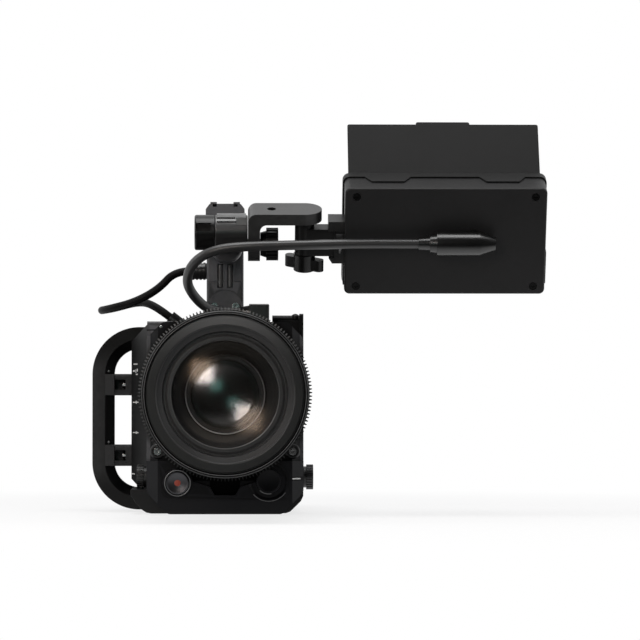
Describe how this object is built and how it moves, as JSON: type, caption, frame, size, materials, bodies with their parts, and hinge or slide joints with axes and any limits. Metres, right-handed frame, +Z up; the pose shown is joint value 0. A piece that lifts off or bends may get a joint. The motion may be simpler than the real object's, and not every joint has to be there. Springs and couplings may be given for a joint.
{
  "type": "digital cinema camera",
  "caption": "Boxy digital cinema camera with a geared zoom lens, a top handle, a side guard frame, a rear battery and a hooded monitor on a tilting arm.",
  "frame": {"origin": "the mouth of the large tripod thread in the middle of the base, right below the lens axis", "axes": "the lens looks along -Y, +X is to the right of someone who faces the lens, +Z is up"},
  "size_m": [0.339, 0.4, 0.2924],
  "materials": {
    "case_black": "satin black coating",
    "lens_black": "black anodised",
    "ring_black": "black anodised, semi gloss",
    "plastic_black": "fine texture",
    "rubber_black": "matte",
    "button_grey": "brushed",
    "steel": "brushed",
    "lens_glass": "coated",
    "screen_glass": "polished",
    "circuit_green": "solder mask",
    "sink_aluminium": "bead blasted",
    "battery_black": "moulded"
  },
  "bodies": {
    "camera": {"body_shell": "case_black", "base_plate": "case_black", "top_plate": "case_black", "rear_cover": "case_black", "front_cover": "case_black", "port_panel": "case_black", "side_guard": "plastic_black", "display_panel": "plastic_black", "side_display": "screen_glass", "cap_screws": "steel", "strap_lug": "steel", "lens_mount": "steel", "lens_barrel": "lens_black", "lens_collars": "lens_black", "lens_front_ring": "lens_black", "front_glass": "lens_glass", "sensor_block": "sink_aluminium", "main_board": "circuit_green", "battery_plate": "plastic_black", "handle_post": "case_black", "handle_grip": "case_black", "clamp_block": "case_black", "body_plug": "rubber_black", "handle_cable_plugs": "rubber_black", "monitor_cable": "rubber_black", "handle_cable": "rubber_black"},
    "rec_button": {"rec_button": "button_grey"},
    "release_button": {"release_button": "button_grey"},
    "dial_left": {"dial_left": "ring_black"},
    "dial_right": {"dial_right": "ring_black"},
    "panel_key": {"panel_key": "rubber_black"},
    "card_door": {"card_door": "plastic_black"},
    "focus_ring": {"focus_ring": "ring_black"},
    "zoom_ring": {"zoom_ring": "ring_black"},
    "iris_ring": {"iris_ring": "ring_black"},
    "focus_group": {"focus_cell": "lens_black", "focus_glass": "lens_glass"},
    "zoom_group": {"zoom_group": "lens_black"},
    "iris_rotor": {"iris_rotor": "lens_black"},
    "fan_rotor": {"fan_rotor": "plastic_black"},
    "battery_latch": {"battery_latch": "plastic_black"},
    "battery": {"battery": "battery_black"},
    "handle_key": {"handle_key": "rubber_black"},
    "lock_knob": {"lock_knob": "ring_black"},
    "arm": {"monitor_arm": "case_black"},
    "tilt_knob": {"tilt_knob": "ring_black"},
    "monitor": {"swivel_bracket": "case_black", "monitor_back": "plastic_black", "monitor_front": "plastic_black", "monitor_screen": "screen_glass", "monitor_screws": "steel", "hood_frame": "plastic_black", "monitor_plug": "rubber_black"},
    "wing_knob": {"wing_knob": "plastic_black"},
    "monitor_key_upper": {"monitor_key_upper": "rubber_black"},
    "monitor_key_lower": {"monitor_key_lower": "rubber_black"},
    "hood_top_flap": {"hood_top_flap": "plastic_black"},
    "hood_left_flap": {"hood_left_flap": "plastic_black"},
    "hood_right_flap": {"hood_right_flap": "plastic_black"}
  },
  "joints": [
    {"name": "rec_press", "type": "slide", "parent": "camera", "child": "rec_button", "axis": [0, 1, 0], "range_m": [0, 0.0012], "stiffness_N_per_m": 400, "springref_m": -0.001},
    {"name": "release_press", "type": "slide", "parent": "camera", "child": "release_button", "axis": [0, 1, 0], "range_m": [0, 0.0025], "stiffness_N_per_m": 400, "springref_m": -0.001},
    {"name": "dial_left_turn", "type": "hinge", "parent": "camera", "child": "dial_left", "pos_m": [-0.0625, -0.037, 0.027], "axis": [1, 0, 0], "continuous": true},
    {"name": "dial_right_turn", "type": "hinge", "parent": "camera", "child": "dial_right", "pos_m": [0.0625, -0.037, 0.027], "axis": [1, 0, 0], "continuous": true},
    {"name": "panel_key_press", "type": "slide", "parent": "camera", "child": "panel_key", "axis": [-1, 0, 0], "range_m": [0, 0.0006], "stiffness_N_per_m": 400, "springref_m": -0.0005},
    {"name": "card_door_turn", "type": "hinge", "parent": "camera", "child": "card_door", "pos_m": [0.057, 0.035, 0.02], "axis": [0, 1, 0], "range_deg": [0, 100]},
    {"name": "focus_turn", "type": "hinge", "parent": "camera", "child": "focus_ring", "pos_m": [0, -0.226, 0.089], "axis": [0, 1, 0], "range_deg": [-150, 150]},
    {"name": "focus_slide", "type": "slide", "parent": "camera", "child": "focus_group", "axis": [0, 1, 0], "range_m": [-0.002, 0.002]},
    {"name": "zoom_turn", "type": "hinge", "parent": "camera", "child": "zoom_ring", "pos_m": [0, -0.151, 0.089], "axis": [0, 1, 0], "range_deg": [-45, 45]},
    {"name": "zoom_slide", "type": "slide", "parent": "camera", "child": "zoom_group", "axis": [0, 1, 0], "range_m": [-0.01, 0.01]},
    {"name": "iris_turn", "type": "hinge", "parent": "camera", "child": "iris_ring", "pos_m": [0, -0.113, 0.089], "axis": [0, 1, 0], "range_deg": [-35, 35]},
    {"name": "iris_rotor_turn", "type": "hinge", "parent": "camera", "child": "iris_rotor", "pos_m": [0, -0.1165, 0.089], "axis": [0, 1, 0], "range_deg": [-36, 36]},
    {"name": "fan_spin", "type": "hinge", "parent": "camera", "child": "fan_rotor", "pos_m": [0, 0.02, 0.089], "axis": [0, 1, 0], "continuous": true},
    {"name": "latch_press", "type": "slide", "parent": "camera", "child": "battery_latch", "axis": [-1, 0, 0], "range_m": [0, 0.0018], "stiffness_N_per_m": 400, "springref_m": -0.00075},
    {"name": "battery_slide", "type": "slide", "parent": "camera", "child": "battery", "axis": [0, 0, 1], "range_m": [0, 0.06]},
    {"name": "handle_key_press", "type": "slide", "parent": "camera", "child": "handle_key", "axis": [-1, 0, 0], "range_m": [0, 0.001], "stiffness_N_per_m": 400, "springref_m": -0.0005},
    {"name": "lock_turn", "type": "hinge", "parent": "camera", "child": "lock_knob", "pos_m": [-0.015, -0.08, 0.2088], "axis": [1, 0, 0], "range_deg": [-90, 90]},
    {"name": "arm_tilt", "type": "hinge", "parent": "camera", "child": "arm", "pos_m": [0.0213, -0.08, 0.2003], "axis": [1, 0, 0], "range_deg": [-50, 40], "deforming": ["monitor_cable"]},
    {"name": "tilt_knob_turn", "type": "hinge", "parent": "camera", "child": "tilt_knob", "pos_m": [0.032, -0.08, 0.2003], "axis": [1, 0, 0], "range_deg": [-90, 90]},
    {"name": "swivel", "type": "hinge", "parent": "arm", "child": "monitor", "pos_m": [0.0587, -0.08234, 0.20582], "axis": [0, -0.3907, 0.9205], "range_deg": [-35, 25], "deforming": ["monitor_cable"]},
    {"name": "wing_turn", "type": "hinge", "parent": "arm", "child": "wing_knob", "pos_m": [0.0587, -0.07492, 0.18833], "axis": [0, -0.3907, 0.9205], "range_deg": [-60, 60]},
    {"name": "monitor_upper_press", "type": "slide", "parent": "monitor", "child": "monitor_key_upper", "axis": [-1, 0, 0], "range_m": [0, 0.0005], "stiffness_N_per_m": 400, "springref_m": -0.0005},
    {"name": "monitor_lower_press", "type": "slide", "parent": "monitor", "child": "monitor_key_lower", "axis": [-1, 0, 0], "range_m": [0, 0.0005], "stiffness_N_per_m": 400, "springref_m": -0.0005},
    {"name": "hood_top_turn", "type": "hinge", "parent": "monitor", "child": "hood_top_flap", "pos_m": [0.1623, -0.08085, 0.25067], "axis": [1, 0, 0], "range_deg": [-121, 8]},
    {"name": "hood_left_turn", "type": "hinge", "parent": "monitor", "child": "hood_left_flap", "pos_m": [0.0891, -0.06522, 0.21385], "axis": [0, 0.3907, -0.9205], "range_deg": [0, 88]},
    {"name": "hood_right_turn", "type": "hinge", "parent": "monitor", "child": "hood_right_flap", "pos_m": [0.2355, -0.06522, 0.21385], "axis": [0, -0.3907, 0.9205], "range_deg": [0, 88]}
  ],
  "couplings": [
    {"joint": "focus_slide", "follows": "focus_turn", "m_per_rad": 0.00076},
    {"joint": "zoom_slide", "follows": "zoom_turn", "m_per_rad": 0.0127},
    {"joint": "iris_rotor_turn", "follows": "iris_turn", "ratio": 1}
  ]
}
